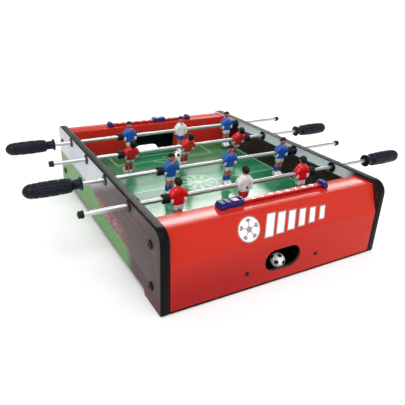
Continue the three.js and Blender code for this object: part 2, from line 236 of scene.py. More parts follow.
def sideways(sections, squareness=0.1, sides=20):
    """Rings along X from (x, y, z, half depth, half height) sections."""
    return [[(x, u, v) for u, v in oval(y, z, d, h, squareness, sides)] for x, y, z, d, h in sections]


def lengthways(sections, squareness=0.4, sides=20):
    """Rings along Y from (y, x, z, half width, half height) sections."""
    return [[(u, y, v) for u, v in oval(x, z, w, h, squareness, sides)] for y, x, z, w, h in sections]


def blob(centre, radii, push=None, across=20, up=14):
    """Rings round an egg; push(direction) scales its radius in that direction."""
    rings = []
    for i in range(up + 1):
        tilt = math.pi * (0.04 + 0.92 * i / up)
        ring = []
        for j in range(across):
            turn = 2 * math.pi * j / across
            way = Vector((math.sin(tilt) * math.cos(turn), math.sin(tilt) * math.sin(turn), -math.cos(tilt)))
            size = push(way) if push else 1
            ring.append([c + r * w * size for c, r, w in zip(centre, radii, way)])
        rings.append(ring)
    return rings


def board(outlines, thickness, edge):
    """A flat board with rounded edges in the XY plane: its rim, then its holes."""
    curve = bpy.data.curves.new("board", "CURVE")
    curve.dimensions = "2D"
    curve.fill_mode = "BOTH"
    curve.extrude = thickness / 2 - edge
    curve.bevel_depth = edge
    curve.bevel_resolution = 2
    curve.offset = -edge
    for points in outlines:
        spline = curve.splines.new("POLY")
        spline.points.add(len(points) - 1)
        for point, (u, v) in zip(spline.points, points):
            point.co = (u, v, 0, 1)
        spline.use_cyclic_u = True
    mesh = curve_mesh(curve)
    welded = bmesh.new()
    welded.from_mesh(mesh)
    bmesh.ops.remove_doubles(welded, verts=welded.verts, dist=0.001)
    welded.to_mesh(mesh)
    welded.free()
    return mesh


def face_out(mesh):
    solid = bmesh.new()
    solid.from_mesh(mesh)
    bmesh.ops.recalc_face_normals(solid, faces=solid.faces)
    solid.to_mesh(mesh)
    solid.free()


def to_mesh(shape, name, finishes, crease=40):
    mesh = bpy.data.meshes.new(name)
    mesh.from_pydata([point * MM for point in shape.points], [], shape.faces)
    mesh.polygons.foreach_set("material_index", shape.finishes)
    for finish in finishes:
        mesh.materials.append(finish)
    face_out(mesh)
    smooth(mesh, crease)
    return mesh


def settle(mesh, name, body, replaced=(), bevel=0):
    """Puts a finished mesh in the scene as a piece on a body."""
    piece = put(name, mesh)
    if bevel:
        add_bevel(piece, bevel)
    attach(piece, body)
    if replaced:
        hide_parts(*replaced)
    return piece


def add_bevel(piece, width):
    modifier = piece.modifiers.new("edges", "BEVEL")
    modifier.width = width * MM
    modifier.segments = 3
    modifier.limit_method = "ANGLE"
    modifier.angle_limit = math.radians(40)
    modifier.harden_normals = True


def make(shape, name, body, finishes, replaced=(), crease=40, bevel=0):
    return settle(to_mesh(shape, name, finishes, crease), name, body, replaced, bevel)


# ------------------------------------------------------------------ shader fields
class Field:
    """A number worked out at each point of a surface. Arithmetic on it adds Math nodes."""

    def __init__(self, tree, socket):
        self.tree, self.socket = tree, socket

    def math(self, operation, *others):
        node = self.tree.nodes.new("ShaderNodeMath")
        node.operation = operation
        for slot, value in zip(node.inputs, (self, *others)):
            if isinstance(value, Field):
                self.tree.links.new(value.socket, slot)
            else:
                slot.default_value = value
        return Field(self.tree, node.outputs[0])

    def __add__(self, other):
        return self.math("ADD", other)

    def __sub__(self, other):
        return self.math("SUBTRACT", other)

    def __mul__(self, other):
        return self.math("MULTIPLY", other)

    def __abs__(self):
        return self.math("ABSOLUTE")

    def sine(self, wavelength):
        return (self * (2 * math.pi / wavelength)).math("SINE")

    def least(self, other):
        return self.math("MINIMUM", other)

    def most(self, other):
        return self.math("MAXIMUM", other)

    def rise(self, start, end):
        """0 below start, 1 above end, and a smooth step between them."""
        node = self.tree.nodes.new("ShaderNodeMapRange")
        node.interpolation_type = "SMOOTHSTEP"
        self.tree.links.new(self.socket, node.inputs["Value"])
        node.inputs["From Min"].default_value = start
        node.inputs["From Max"].default_value = end
        return Field(self.tree, node.outputs[0])

    def fall(self, start, end):
        return self.rise(start, end) * -1 + 1

    def line(self, width, soft=0.3):
        """1 where the field is within half the width of zero."""
        return abs(self).fall(width / 2 - soft, width / 2 + soft)


class Finish:
    """A procedural Principled material. Its fields are in millimetres from the table's middle."""

    def __init__(self, name, **constants):
        self.material = bpy.data.materials.new(name)
        self.material.use_nodes = True
        self.tree = self.material.node_tree
        self.shader = self.tree.nodes["Principled BSDF"]
        for socket, value in constants.items():
            self.shader.inputs[socket.replace("_", " ")].default_value = value
        place = self.tree.nodes.new("ShaderNodeTexCoord").outputs["Object"]
        scaled = self.tree.nodes.new("ShaderNodeVectorMath")
        scaled.operation = "MULTIPLY_ADD"
        self.tree.links.new(place, scaled.inputs[0])
        scaled.inputs[1].default_value = (1 / MM,) * 3
        scaled.inputs[2].default_value = (-BODY_X, 0, 0)
        self.place = scaled.outputs[0]
        parts = self.tree.nodes.new("ShaderNodeSeparateXYZ")
        self.tree.links.new(self.place, parts.inputs[0])
        self.x, self.y, self.z = [Field(self.tree, socket) for socket in parts.outputs]

    def stretched(self, size, stretch, seed):
        """Coordinates that count lumps of a size, longer where stretch is over 1."""
        spread = self.tree.nodes.new("ShaderNodeVectorMath")
        spread.operation = "MULTIPLY_ADD"
        self.tree.links.new(self.place, spread.inputs[0])
        spread.inputs[1].default_value = [1 / (size * s) for s in stretch]
        spread.inputs[2].default_value = (seed, seed, seed)
        return spread.outputs[0]

    def noise(self, size, detail=3.0, stretch=(1, 1, 1), seed=0.0):
        """Soft random field about 0.5, with lumps about size across."""
        node = self.tree.nodes.new("ShaderNodeTexNoise")
        node.inputs["Scale"].default_value = 1
        node.inputs["Detail"].default_value = detail
        self.tree.links.new(self.stretched(size, stretch, seed), node.inputs["Vector"])
        return Field(self.tree, node.outputs["Fac"])

    def dots(self, size, stretch=(1, 1, 1), seed=0.0):
        """Distance from the middle of random cells, 0 to about 1, and a random number for each cell."""
        node = self.tree.nodes.new("ShaderNodeTexVoronoi")
        node.inputs["Scale"].default_value = 1
        self.tree.links.new(self.stretched(size, stretch, seed), node.inputs["Vector"])
        parts = self.tree.nodes.new("ShaderNodeSeparateXYZ")
        self.tree.links.new(node.outputs["Color"], parts.inputs[0])
        return Field(self.tree, node.outputs["Distance"]), Field(self.tree, parts.outputs[0])

    def mix(self, factor, low, high):
        """The colour low where the factor is 0, and high where it is 1."""
        node = self.tree.nodes.new("ShaderNodeMix")
        node.data_type = "RGBA"
        self.tree.links.new(factor.socket, node.inputs[0])
        for socket, colour in ((node.inputs[6], low), (node.inputs[7], high)):
            if isinstance(colour, tuple):
                socket.default_value = (*colour, 1)
            else:
                self.tree.links.new(colour, socket)
        return node.outputs[2]

    def paint(self, colour):
        self.tree.links.new(colour, self.shader.inputs["Base Color"])

    def shade(self, socket, field):
        self.tree.links.new(field.socket, self.shader.inputs[socket])

    def bump(self, *layers):
        """Layers are (height field, depth in millimetres), laid on one another."""
        normal = None
        for field, depth in layers:
            node = self.tree.nodes.new("ShaderNodeBump")
            node.inputs["Distance"].default_value = depth * MM
            self.tree.links.new(field.socket, node.inputs["Height"])
            if normal:
                self.tree.links.new(normal, node.inputs["Normal"])
            normal = node.outputs["Normal"]
        self.tree.links.new(normal, self.shader.inputs["Normal"])


# ------------------------------------------------------------------ finishes
RUB_PALENESS = 0.012
WEAR_PALENESS = 0.04


def tint(colour, factor):
    return tuple(min(1, channel * factor) for channel in colour)


def moulded(name, colour, roughness=0.35, grain=0.35, depth=0.02, scuffs=0.3, gloss=0.5):
    """Moulded plastic: a fine tool texture, uneven gloss and a few paler rubs."""
    finish = Finish(name, IOR=1.5, Specular_IOR_Level=gloss)
    fine = finish.noise(grain, 2)
    cloud = finish.noise(14, 3, seed=4)
    rub = finish.noise(5, 4, stretch=(3, 1, 1), seed=9).rise(0.6, 0.72) * scuffs
    base = finish.mix(cloud, tint(colour, 0.85), tint(colour, 1.15))
    finish.paint(finish.mix(rub, base, tuple(0.8 * c + RUB_PALENESS for c in colour)))
    finish.shade("Roughness", cloud * 0.14 + (roughness - 0.07) + rub * 0.15)
    finish.bump((fine, depth), (cloud, 0.05))
    return finish.material


def painted(name, colour, roughness=0.3, gloss=0.5):
    """Sprayed paint on a small moulding: slight orange peel, worn a little paler and duller."""
    finish = Finish(name, IOR=1.5, Specular_IOR_Level=gloss)
    peel = finish.noise(0.9, 2)
    patch = finish.noise(4.5, 3, seed=2)
    worn = finish.noise(2.2, 4, seed=7).rise(0.62, 0.75) * 0.35
    base = finish.mix(patch, tint(colour, 0.82), tint(colour, 1.12))
    finish.paint(finish.mix(worn, base, tuple(0.85 * c + WEAR_PALENESS for c in colour)))
    finish.shade("Roughness", patch * 0.16 + (roughness - 0.08) + worn * 0.2)
    finish.bump((peel, 0.03))
    return finish.material


def red_vinyl():
    """Glossy red vinyl over board: the board's faint texture, print mottle and light scuffs, with painted
    shade that darkens it towards the bottom and the left.
    """
    finish = Finish("red_vinyl", IOR=1.5, Specular_IOR_Level=0.12)
    mottle = finish.noise(60, 3)
    speck = finish.noise(0.8, 2, seed=3)
    base = finish.mix(mottle, (0.46, 0.020, 0.011), (0.53, 0.028, 0.016))
    # Painted shade: the red is darkened towards the bottom and the left of the boxes, where less light falls
    # on the front face.
    low = finish.z.fall(14, 92) * finish.x.fall(-150, 190)
    base = finish.mix(low * 0.85, base, (0.27, 0.003, 0.006))
    base = finish.mix(speck * 0.10, base, (0.80, 0.07, 0.04))
    scuff = finish.noise(3, 5, stretch=(9, 1, 1), seed=5).rise(0.68, 0.76) * 0.12
    finish.paint(finish.mix(scuff, base, (0.78, 0.13, 0.09)))
    finish.shade("Roughness", mottle * 0.08 + 0.10 + scuff * 0.3)
    finish.bump((speck, 0.012), (finish.noise(9, 2, seed=8), 0.05))
    return finish.material


def cut_edge():
    """Painted edge of a cut board: dark, with the board's chips showing in the relief."""
    finish = Finish("cut_edge", IOR=1.45)
    chips = finish.noise(0.7, 4)
    finish.paint(finish.mix(chips, (0.018, 0.010, 0.009), (0.06, 0.035, 0.03)))
    finish.shade("Roughness", chips * 0.2 + 0.5)
    finish.bump((chips, 0.12))
    return finish.material


def pitch_print():
    """The printed pitch: mown bands, blades of grass, white markings and a plain centre badge."""
    finish = Finish("pitch_print", IOR=1.5)
    x, y = finish.x, finish.y
    side, end = abs(x), abs(y)
    bands = y.sine(62).rise(-0.25, 0.25)
    blades = finish.noise(1.6, 3, stretch=(1, 3.5, 1))
    patches = finish.noise(38, 3, seed=6)
    grass = finish.mix(bands, (0.014, 0.150, 0.062), (0.028, 0.245, 0.105))
    grass = finish.mix(blades.rise(0.35, 0.7) * 0.4, grass, (0.05, 0.33, 0.14))
    grass = finish.mix(patches.rise(0.45, 0.7) * 0.35, grass, (0.012, 0.100, 0.040))

    def from_point(u, v):
        return (u * u + v * v).math("SQRT")

    from_centre = from_point(x, y)
    from_spot = from_point(x, end - 152)
    outside_box = end.fall(137, 138)
    marks = [
        (side - 172).most(end - 192).line(2.2),
        y.line(2.0),
        (from_centre - 35).line(2.2),
        (side - 107).most(end * -1 + 138).line(2.0),
        (side - 62).most(end * -1 + 171).line(2.0),
        (from_spot - 34).line(2.0) * outside_box,
        from_spot.line(4.5),
        from_point(side - 172, end - 192).math("SUBTRACT", 11).line(1.8),
    ]
    lines = marks[0]
    for mark in marks[1:]:
        lines = lines.most(mark)
    rays = x.math("ARCTAN2", y).sine(2 * math.pi / 10).rise(-0.1, 0.2)
    badge = from_centre.fall(30, 31) * (rays * from_centre.rise(11, 12) + from_centre.fall(8, 9)).least(1.0)
    worn = finish.noise(2.5, 4, seed=11).rise(0.3, 0.5)
    painted_marks = lines * (worn * 0.35 + 0.25)
    colour = finish.mix(badge * 0.42, grass, (0.55, 0.80, 0.60))
    finish.paint(finish.mix(painted_marks, colour, (0.72, 0.82, 0.72)))
    rubs = finish.noise(4, 5, (4, 1, 1), 3).rise(0.6, 0.8)
    finish.shade("Roughness", patches * 0.08 + 0.13 + rubs * 0.12)
    finish.bump((blades, 0.02), (finish.noise(22, 2, seed=1), 0.10))
    return finish.material


def stadium_print():
    """The outer laminate: pale sky high and far, a dim stand, a crowd band and grass below."""
    finish = Finish("stadium_print", IOR=1.3)
    y, z = finish.y, finish.z
    waver = finish.noise(30, 3, stretch=(1, 3, 1)) * 10
    stand = finish.mix(finish.noise(26, 3, stretch=(1, 3, 0.6), seed=2),
                       (0.058, 0.030, 0.029), (0.125, 0.074, 0.073))
    seats = (z + waver * 0.3).sine(5.5).rise(-0.6, 0.9) * 0.25
    stand = finish.mix(seats, stand, (0.04, 0.030, 0.031))
    distance, pick = finish.dots(3.2, stretch=(1, 1.5, 1))
    faces = finish.mix(pick.rise(0.35, 0.65), (0.34, 0.05, 0.06), (0.52, 0.30, 0.31))
    faces = finish.mix(distance.rise(0.3, 0.9), faces, (0.12, 0.03, 0.04))
    crowd = (z + waver).rise(40, 48) * (z + waver).fall(58, 76) * y.rise(-150, -90)
    colour = finish.mix(crowd * 0.7, stand, faces)
    sky = (z + y * 0.45 + waver * 0.8).rise(72, 104)
    clouds = finish.mix(finish.noise(44, 3, stretch=(1, 2.4, 0.8), seed=12),
                        (0.38, 0.41, 0.46), (0.76, 0.78, 0.82))
    clouds = finish.mix(seats * 0.5, clouds, (0.30, 0.31, 0.34))
    colour = finish.mix(sky * 0.92, colour, clouds)
    near_dark = y.fall(-225, -150)
    colour = finish.mix(near_dark * 0.55, colour, (0.040, 0.030, 0.028))
    maroon = z.fall(18, 34) * y.fall(-190, -120)
    colour = finish.mix(maroon * 0.8, colour, (0.085, 0.012, 0.016))
    blades = finish.noise(2.4, 3, stretch=(1, 4, 1), seed=8)
    grass = finish.mix(blades, (0.055, 0.19, 0.045), (0.19, 0.38, 0.13))
    pitch = (z - (y.rise(-40, 40) * 26) + waver * 0.4).fall(40, 46) * y.rise(-160, -128)
    colour = finish.mix(pitch, colour, grass)
    finish.paint(colour)
    finish.shade("Roughness", finish.noise(18, 3, seed=5) * 0.12 + 0.38)
    finish.bump((finish.noise(0.9, 2), 0.01), (finish.noise(30, 2, seed=4), 0.10))
    return finish.material


def crowd_print():
    """The inner laminate: a dark, maroon crowd out of focus below a band of blue-grey haze."""
    finish = Finish("crowd_print", IOR=1.5, Specular_IOR_Level=0.35)
    y, z = finish.y, finish.z
    distance, pick = finish.dots(4.2, stretch=(1, 1.3, 1))
    rows = z.sine(7.5).rise(-0.5, 0.8)
    shirts = finish.mix(pick.rise(0.2, 0.9), (0.030, 0.012, 0.012), (0.10, 0.024, 0.022))
    shirts = finish.mix(distance.rise(0.2, 0.7), shirts, (0.014, 0.009, 0.009))
    colour = finish.mix(rows * 0.4, shirts, (0.012, 0.008, 0.009))
    flags = finish.noise(24, 3, seed=7).rise(0.58, 0.68)
    colour = finish.mix(flags * 0.35, colour, (0.16, 0.045, 0.04))
    haze = (z + finish.noise(50, 3, stretch=(1, 2, 1), seed=14) * 8).rise(106, 109) * y.rise(-205, -180)
    veil = finish.mix(finish.noise(20, 3, stretch=(1, 4, 1), seed=3), (0.68, 0.76, 0.82), (0.84, 0.90, 0.94))
    finish.paint(finish.mix(haze, colour, veil))
    finish.shade("Roughness", finish.noise(20, 3) * 0.1 + 0.24)
    finish.bump((finish.noise(0.9, 2), 0.01), (finish.noise(28, 2, seed=4), 0.08))
    return finish.material


def chrome():
    """Plated steel tube: bright, with faint drawing lines and handling haze."""
    finish = Finish("chrome_rod", Metallic=1.0)
    drawn = finish.noise(0.35, 3, stretch=(60, 1, 1))
    haze = finish.noise(16, 3, stretch=(2, 1, 1), seed=3)
    finish.paint(finish.mix(haze, (0.60, 0.605, 0.62), (0.73, 0.735, 0.75)))
    finish.shade("Roughness", haze * 0.12 + 0.24 + drawn * 0.05)
    finish.bump((drawn, 0.006))
    return finish.material


def dark_steel():
    finish = Finish("dark_steel", Metallic=0.7, Specular_IOR_Level=0.2)
    grain = finish.noise(0.8, 3)
    finish.paint(finish.mix(grain, (0.008, 0.007, 0.007), (0.028, 0.025, 0.025)))
    finish.shade("Roughness", grain * 0.2 + 0.34)
    finish.bump((grain, 0.02))
    return finish.material


def studio_floor():
    finish = Finish("studio_floor", IOR=1.3)
    cloud = finish.noise(420, 2)
    finish.paint(finish.mix(cloud, (0.93, 0.93, 0.93), (0.96, 0.96, 0.96)))
    finish.shade("Roughness", cloud * 0.05 + 0.85)
    return finish.material


RED_VINYL = red_vinyl()
CUT_EDGE = cut_edge()
PITCH = pitch_print()
STADIUM = stadium_print()
CROWD = crowd_print()
CHROME = chrome()
STEEL = dark_steel()
EDGE_PLASTIC = moulded("edge_plastic", (0.0030, 0.0036, 0.0040), roughness=0.36, grain=0.6, gloss=0.08)
BLACK_PLASTIC = moulded("black_plastic", (0.0035, 0.004, 0.006), roughness=0.38, gloss=0.2)
GRIP_PLASTIC = moulded("grip_plastic", (0.004, 0.006, 0.013), roughness=0.42, grain=0.5, depth=0.04,
                       gloss=0.2)
RUBBER = moulded("bumper_rubber", (0.005, 0.006, 0.009), roughness=0.6, grain=0.5, depth=0.05, gloss=0.25)
TRAY_PLASTIC = moulded("tray_plastic", (0.003, 0.003, 0.0035), roughness=0.65, grain=0.8, depth=0.05,
                       gloss=0.06)
BLUE_PLASTIC = moulded("blue_plastic", (0.008, 0.016, 0.135), roughness=0.32, gloss=0.35)
RED_PLASTIC = moulded("red_plastic", (0.50, 0.012, 0.012), roughness=0.28, gloss=0.4)
PINK_READING = moulded("pink_reading", (0.80, 0.15, 0.34), roughness=0.3)
WHITE_INK = painted("white_ink", (0.86, 0.86, 0.85), roughness=0.4)
GREY_INK = painted("grey_ink", (0.30, 0.24, 0.24), roughness=0.4)
RED_KIT = painted("red_kit", (0.66, 0.006, 0.009))
BLUE_KIT = painted("blue_kit", (0.010, 0.085, 0.42))
WHITE_KIT = painted("white_kit", (0.76, 0.73, 0.75))
BOX_INSIDE = painted("box_inside", (0.012, 0.019, 0.027), roughness=0.6, gloss=0.2)
SKIN = painted("skin_paint", (0.50, 0.16, 0.13), roughness=0.4)
LIP = painted("lip_paint", (0.30, 0.05, 0.05), roughness=0.4)
HAIR = painted("hair_paint", (0.006, 0.004, 0.004), roughness=0.5, gloss=0.2)
BALL_WHITE = painted("ball_white", (0.84, 0.84, 0.82), roughness=0.3)
BALL_BLACK = painted("ball_black", (0.006, 0.006, 0.008), roughness=0.35, gloss=0.3)


# ------------------------------------------------------------------ side panels
def panel_corners(inset):
    """The panel's outline in Y and Z, taken in by inset."""
    foot = HALF_LENGTH - FOOT_LENGTH
    end, top = HALF_LENGTH - inset, PANEL_HEIGHT - inset
    return outline([
        (-end, inset, 3 - inset),
        (-foot - inset, inset, 1),
        (-foot + FOOT_STEP_SLOPE - inset, FOOT_HEIGHT + inset, 1),
        (foot - FOOT_STEP_SLOPE + inset, FOOT_HEIGHT + inset, 1),
        (foot + inset, inset, 1),
        (end, inset, 3 - inset),
        (end, top, CORNER_RADIUS - inset),
        (-end, top, CORNER_RADIUS - inset),
    ], steps=8)


def rod_anchor(number):
    joint = next(j for j in frame["joints"] if j["name"] == f"rod_{number}_turn")
    return Vector(joint["pos_m"]) / MM


# Board axes: its U runs along Y, its V up Z, and its thickness along X.
ACROSS_X = Matrix(((0, 0, 1, 0), (1, 0, 0, 0), (0, 1, 0, 0), (0, 0, 0, 1)))


def side_panel(name, side):
    middle = Matrix.Translation((BODY_X + side * (WALL_X + PANEL_THICKNESS / 2), 0, 0)) @ ACROSS_X
    holes = [circle(rod_anchor(n).y, rod_anchor(n).z, 6.3) for n in (1, 2, 3, 4)]
    holes += [circle(y, z, 3.3) for y in (-BOLT_Y, BOLT_Y) for z in BOLT_HEIGHTS]
    core = Shape()
    core.add_mesh(board([panel_corners(EDGING)] + holes, PANEL_THICKNESS, 0.4), place=middle)
    mesh = to_mesh(core, f"{name}_board", [CUT_EDGE, STADIUM, CROWD])
    for face in mesh.polygons:
        if abs(face.normal.x) > 0.9:
            face.material_index = 1 if face.normal.x * side > 0 else 2
    settle(mesh, f"{name}_board", "table", [name])

    # The edging is a crowned plastic strip pressed round the whole rim.
    half = PANEL_THICKNESS / 2
    section = [(-half, 0), (-half, 0.7), (-half + 0.8, 1.2), (-half + 3, 1.42), (0, EDGING),
               (half - 3, 1.42), (half - 0.8, 1.2), (half, 0.7), (half, 0)]
    inner = [Vector(p) for p in panel_corners(EDGING)]
    strip = Shape()
    rings = []
    for i, point in enumerate(inner):
        before = (point - inner[i - 1]).normalized()
        after = (inner[(i + 1) % len(inner)] - point).normalized()
        along = (before + after).normalized()
        out = Vector((along.y, -along.x)) / max(0.5, before.dot(along))
        rings.append([(u, v, across) for across, reach in section for u, v in [point + out * reach]])
    strip.skin(rings, place=middle, closed=True)
    make(strip, f"{name}_edging", "table", [EDGE_PLASTIC], crease=50)


# ------------------------------------------------------------------ end boxes
def box_section():
    wall = BOX_WALL
    low, top = BOX_LOW.z, BOX_TOP_Z
    return outline([
        (-HALF_LENGTH, low),
        (-HALF_LENGTH + wall, low),
        (-HALF_LENGTH + wall, BOX_FOLD_Z - 1),
        (-BOX_TOP_OUTER_Y + wall * 0.7, top - wall),
        (-BOX_INNER_Y - wall, top - wall),
        (-BOX_INNER_Y - wall, low),
        (-BOX_INNER_Y, low),
        (-BOX_INNER_Y, top, 1.6),
        (-BOX_TOP_OUTER_Y, top, 2.2),
        (-HALF_LENGTH, BOX_FOLD_Z, 3),
    ], steps=5)


def prism_along_y(points, start, end):
    shape = Shape()
    shape.skin([[(u, y, v) for u, v in points] for y in (start, end)])
    return shape


def cut(mesh, cutters):
    """The mesh less the cutters, whose walls keep the cutters' finish."""
    body = put("body", mesh)
    tools = []
    for cutter in cutters:
        tool = put("tool", cutter)
        modifier = body.modifiers.new("cut", "BOOLEAN")
        modifier.operation = "DIFFERENCE"
        modifier.solver = "EXACT"
        modifier.material_mode = "TRANSFER"
        modifier.object = tool
        tools.append(tool)
    ready = body.evaluated_get(bpy.context.evaluated_depsgraph_get())
    result = bpy.data.meshes.new_from_object(ready)
    for thing in [body, *tools]:
        bpy.data.objects.remove(thing)
    return result


def end_box(end):
    place = ENDS[end]
    shell = Shape()
    shell.skin([[(x, y, z) for y, z in box_section()] for x in (-BOX_HALF_WIDTH, BOX_HALF_WIDTH)])
    window = prism_along_y(slot_outline(WINDOW_HALF_WIDTH, WINDOW_HALF_HEIGHT, WINDOW_Z),
                           -HALF_LENGTH - 2, -HALF_LENGTH + BOX_WALL + 2)
    goal = prism_along_y(outline([(-GOAL_HALF_WIDTH, PITCH_Z), (GOAL_HALF_WIDTH, PITCH_Z),
                                  (GOAL_HALF_WIDTH, GOAL_TOP_Z, 4), (-GOAL_HALF_WIDTH, GOAL_TOP_Z, 4)]),
                         -BOX_INNER_Y - BOX_WALL - 2, -BOX_INNER_Y + 2)
    cutters = [to_mesh(tool, "tool", [CUT_EDGE]) for tool in (window, goal)]
    skin = to_mesh(shell, "shell", [RED_VINYL, BOX_INSIDE])
    hollow = Vector((0, -(HALF_LENGTH + BOX_INNER_Y) / 2, BOX_FOLD_Z)) * MM
    for face in skin.polygons:
        inward = (hollow - face.center).dot(face.normal) > 0
        face.material_index = 1 if inward and abs(face.normal.x) < 0.5 else 0
    mesh = cut(skin, cutters)
    mesh.name = f"{end}_end_box_shell"
    mesh.transform(place_in_metres(place))
    smooth(mesh)
    settle(mesh, f"{end}_end_box_shell", "table", [f"{end}_end_box"], bevel=0.5)
    for side in (-1, 1):
        tray_screw(f"{end}_tray_screw_{'left' if side < 0 else 'right'}", place, side * TRAY_SCREW_X)


def place_in_metres(place):
    """The same placing for a mesh whose points are in metres already."""
    moved = place.copy()
    moved.translation = place.translation * MM
    return moved


def recess(i, angle, first):
    """A six-sided driver recess from profile point first onwards; round before it."""
    if i < first:
        return 1
    flat = (angle + math.pi / 6) % (math.pi / 3) - math.pi / 6
    return 0.87 / math.cos(flat)


def screw_rings(radius, height, socket):
    """A domed screw head on the YZ plane, out along -X, with a six-sided recess."""
    profile = [(0.5, radius * 0.9), (0, radius), (-height * 0.55, radius), (-height * 0.85, radius * 0.9),
               (-height, radius * 0.72), (-height, socket * 1.1), (-height, socket),
               (-height * 0.25, socket * 0.95)]
    return turned(profile, 36, lambda i, angle: recess(i, angle, 6))


def tray_screw(name, place, x):
    shape = Shape()
    face_front = Matrix.Rotation(math.pi / 2, 4, "Z")
    at = Matrix.Translation((x, -HALF_LENGTH + 0.2, TRAY_SCREW_Z))
    shape.skin(screw_rings(3.4, 0.9, 1.5), place=place @ at @ face_front)
    make(shape, name, "table", [STEEL])


def on_slope(across, up, height):
    """A point on the end box's sloping face: across it, up the slope from the fold, and off it."""
    rise = Vector((0, HALF_LENGTH - BOX_TOP_OUTER_Y, BOX_TOP_Z - BOX_FOLD_Z)).normalized()
    off = Vector((0, -rise.z, rise.y))
    return Vector((across, -HALF_LENGTH, BOX_FOLD_Z)) + rise * up + off * height


def sticker(shape, points, finish, thickness):
    """A flat printed shape laid on the slope; its outline is in across and up."""
    rings = [[on_slope(u, v, h) for u, v in points] for h in (-0.1, thickness)]
    shape.skin(rings, finish, place=FRONT)


def grown(points, amount):
    """A convex outline moved outwards by an amount."""
    centre = sum((Vector(p) for p in points), Vector((0, 0))) / len(points)
    result = []
    for i, point in enumerate(points):
        point = Vector(point)
        before = (point - Vector(points[i - 1])).normalized()
        after = (Vector(points[(i + 1) % len(points)]) - point).normalized()
        outward = Vector((before.y, -before.x)) + Vector((after.y, -after.x))
        if outward.dot(point - centre) < 0:
            outward = -outward
        outward.normalize()
        square = max(0.4, abs(outward.dot(Vector((before.y, -before.x)))))
        result.append(tuple(point + outward * amount / square))
    return result


def front_decal():
    """A plain football with a row of slanted speed bars, in white edged with grey."""
    shape = Shape()
    ball_at, ball_radius = (-59, 21), 16.5
    disc = circle(*ball_at, ball_radius, 48)
    sticker(shape, grown(disc, 1.6), 1, 0.10)
    sticker(shape, disc, 0, 0.18)
    centre = Vector(ball_at)
    patch = [(centre.x + 5 * math.sin(k * 2 * math.pi / 5), centre.y + 5 * math.cos(k * 2 * math.pi / 5))
             for k in range(5)]
    sticker(shape, patch, 1, 0.26)
    for k in range(5):
        turn = 2 * math.pi * k / 5
        tip = Matrix.Rotation(-turn, 2)
        seam = [(-0.55, 4.5), (0.55, 4.5), (0.55, 10), (-0.55, 10)]
        edge = [(-3.2, 14.6), (-3.4, 11.6), (0, 9.2), (3.4, 11.6), (3.2, 14.6)]
        for piece in (seam, edge):
            sticker(shape, [tuple(centre + tip @ Vector(p)) for p in piece], 1, 0.26)
    for k in range(6):
        height = 30 - 2.6 * k
        base = 20 - height / 2
        left = -35 + 19.5 * k
        width = 12.5 - 0.9 * k
        lean = height * 0.28
        bar = [(left, base), (left + width, base),
               (left + width + lean, base + height), (left + lean, base + height)]
        sticker(shape, grown(bar, 1.6), 1, 0.10)
        sticker(shape, bar, 0, 0.18)
    make(shape, "front_decal", "table", [WHITE_INK, GREY_INK], crease=20)


# ------------------------------------------------------------------ bolts and bushes
def corner_bolts():
    for end, y in (("front", -BOLT_Y), ("rear", BOLT_Y)):
        for side_name, side in (("left", -1), ("right", 1)):
            shape = Shape()
            for z in BOLT_HEIGHTS:
                at = Matrix.Translation((BODY_X + side * (HALF_WIDTH + 0.1), y, z))
                turn = facing_x(-side)
                shape.skin(screw_rings(6.2, 2.4, 2.9), place=at @ turn)
                shank = turned([(-0.5, 3), (PANEL_THICKNESS + 2, 3)], 24)
                shape.skin(shank, place=at @ turn)
            plate = outline([(y - 9, 21, 3), (y + 9, 21, 3), (y + 9, 101, 3), (y - 9, 101, 3)])
            face = BODY_X + side * (BOX_HALF_WIDTH - 1.6)
            place = Matrix.Translation((face, 0, 0)) @ ACROSS_X
            shape.add_mesh(board([plate], 2.6, 0.3), place=place)
            name = f"{end}_{side_name}_bolts"
            make(shape, f"{name}_heads", "table", [STEEL], [name])


def ring(profile, bore, sides=48):
    """A ring about X: a rounded outer profile closed along its bore."""
    loop = outline([(profile[0][0], bore, 0.2), *profile, (profile[-1][0], bore, 0.2)], 3)
    return turned(loop, sides)


def bush(name, y, z, side):
    """Flanged bearing in the panel's hole, with its retaining ring inside."""
    outer, inner = HALF_WIDTH, WALL_X
    profile = [(-outer - 2.2, 7.6, 0.5), (-outer - 1.0, 8.7, 0.6), (-outer - 0.15, 8.7), (-outer - 0.15, 5.7),
               (-inner + 0.15, 5.7), (-inner + 0.15, 8.7, 0.2), (-inner + 1.8, 8.7, 0.6)]
    shape = Shape()
    place = Matrix.Translation((BODY_X, y, z)) @ facing_x(-side)
    shape.skin(ring(profile, RUNNING_BORE), place=place, closed=True)
    make(shape, f"{name}_bearing", "table", [BLACK_PLASTIC], [name])


# ------------------------------------------------------------------ rods, handles, caps, bumpers
def handle_profile():
    """(distance from the handle's inner end, radius, how deep the flutes are there)."""
    flange = [(0, 9.4, 0), (0.4, 10.3, 0), (1.2, 10.8, 0), (2.2, 10.7, 0), (3.0, 9.9, 0), (3.5, 8.2, 0)]
    neck = [(4.4, 7.7, 0), (9.0, 7.5, 0), (13.8, 7.6, 0), (14.8, 8.2, 0), (15.4, 9.4, 0), (16.2, 10.4, 0),
            (17.2, 10.9, 0)]
    grip = []
    pads = (18.2, 33.0, 48.0, 62.5, 70.5)
    for start, end in zip(pads, pads[1:]):
        for part, sink, depth in ((0.0, 0.7, 0), (0.08, 0.15, 0.3), (0.2, 0, 1), (0.5, 0, 1), (0.8, 0, 1),
                                  (0.92, 0.15, 0.3), (0.99, 0.7, 0)):
            along = start + (end - start) * part
            swell = 10.9 + 0.9 * math.sin(math.pi * (along - 17) / 56)
            grip.append((along, swell - sink, depth))
    tip = [(71.2, 10.9, 0), (73.0, 10.8, 0), (75.0, 10.3, 0), (77.5, 9.3, 0), (79.8, 7.8, 0), (81.6, 6.0, 0),
           (83.0, 3.9, 0), (83.7, 2.0, 0), (84.0, 0.6, 0)]
    return flange + neck + grip + tip


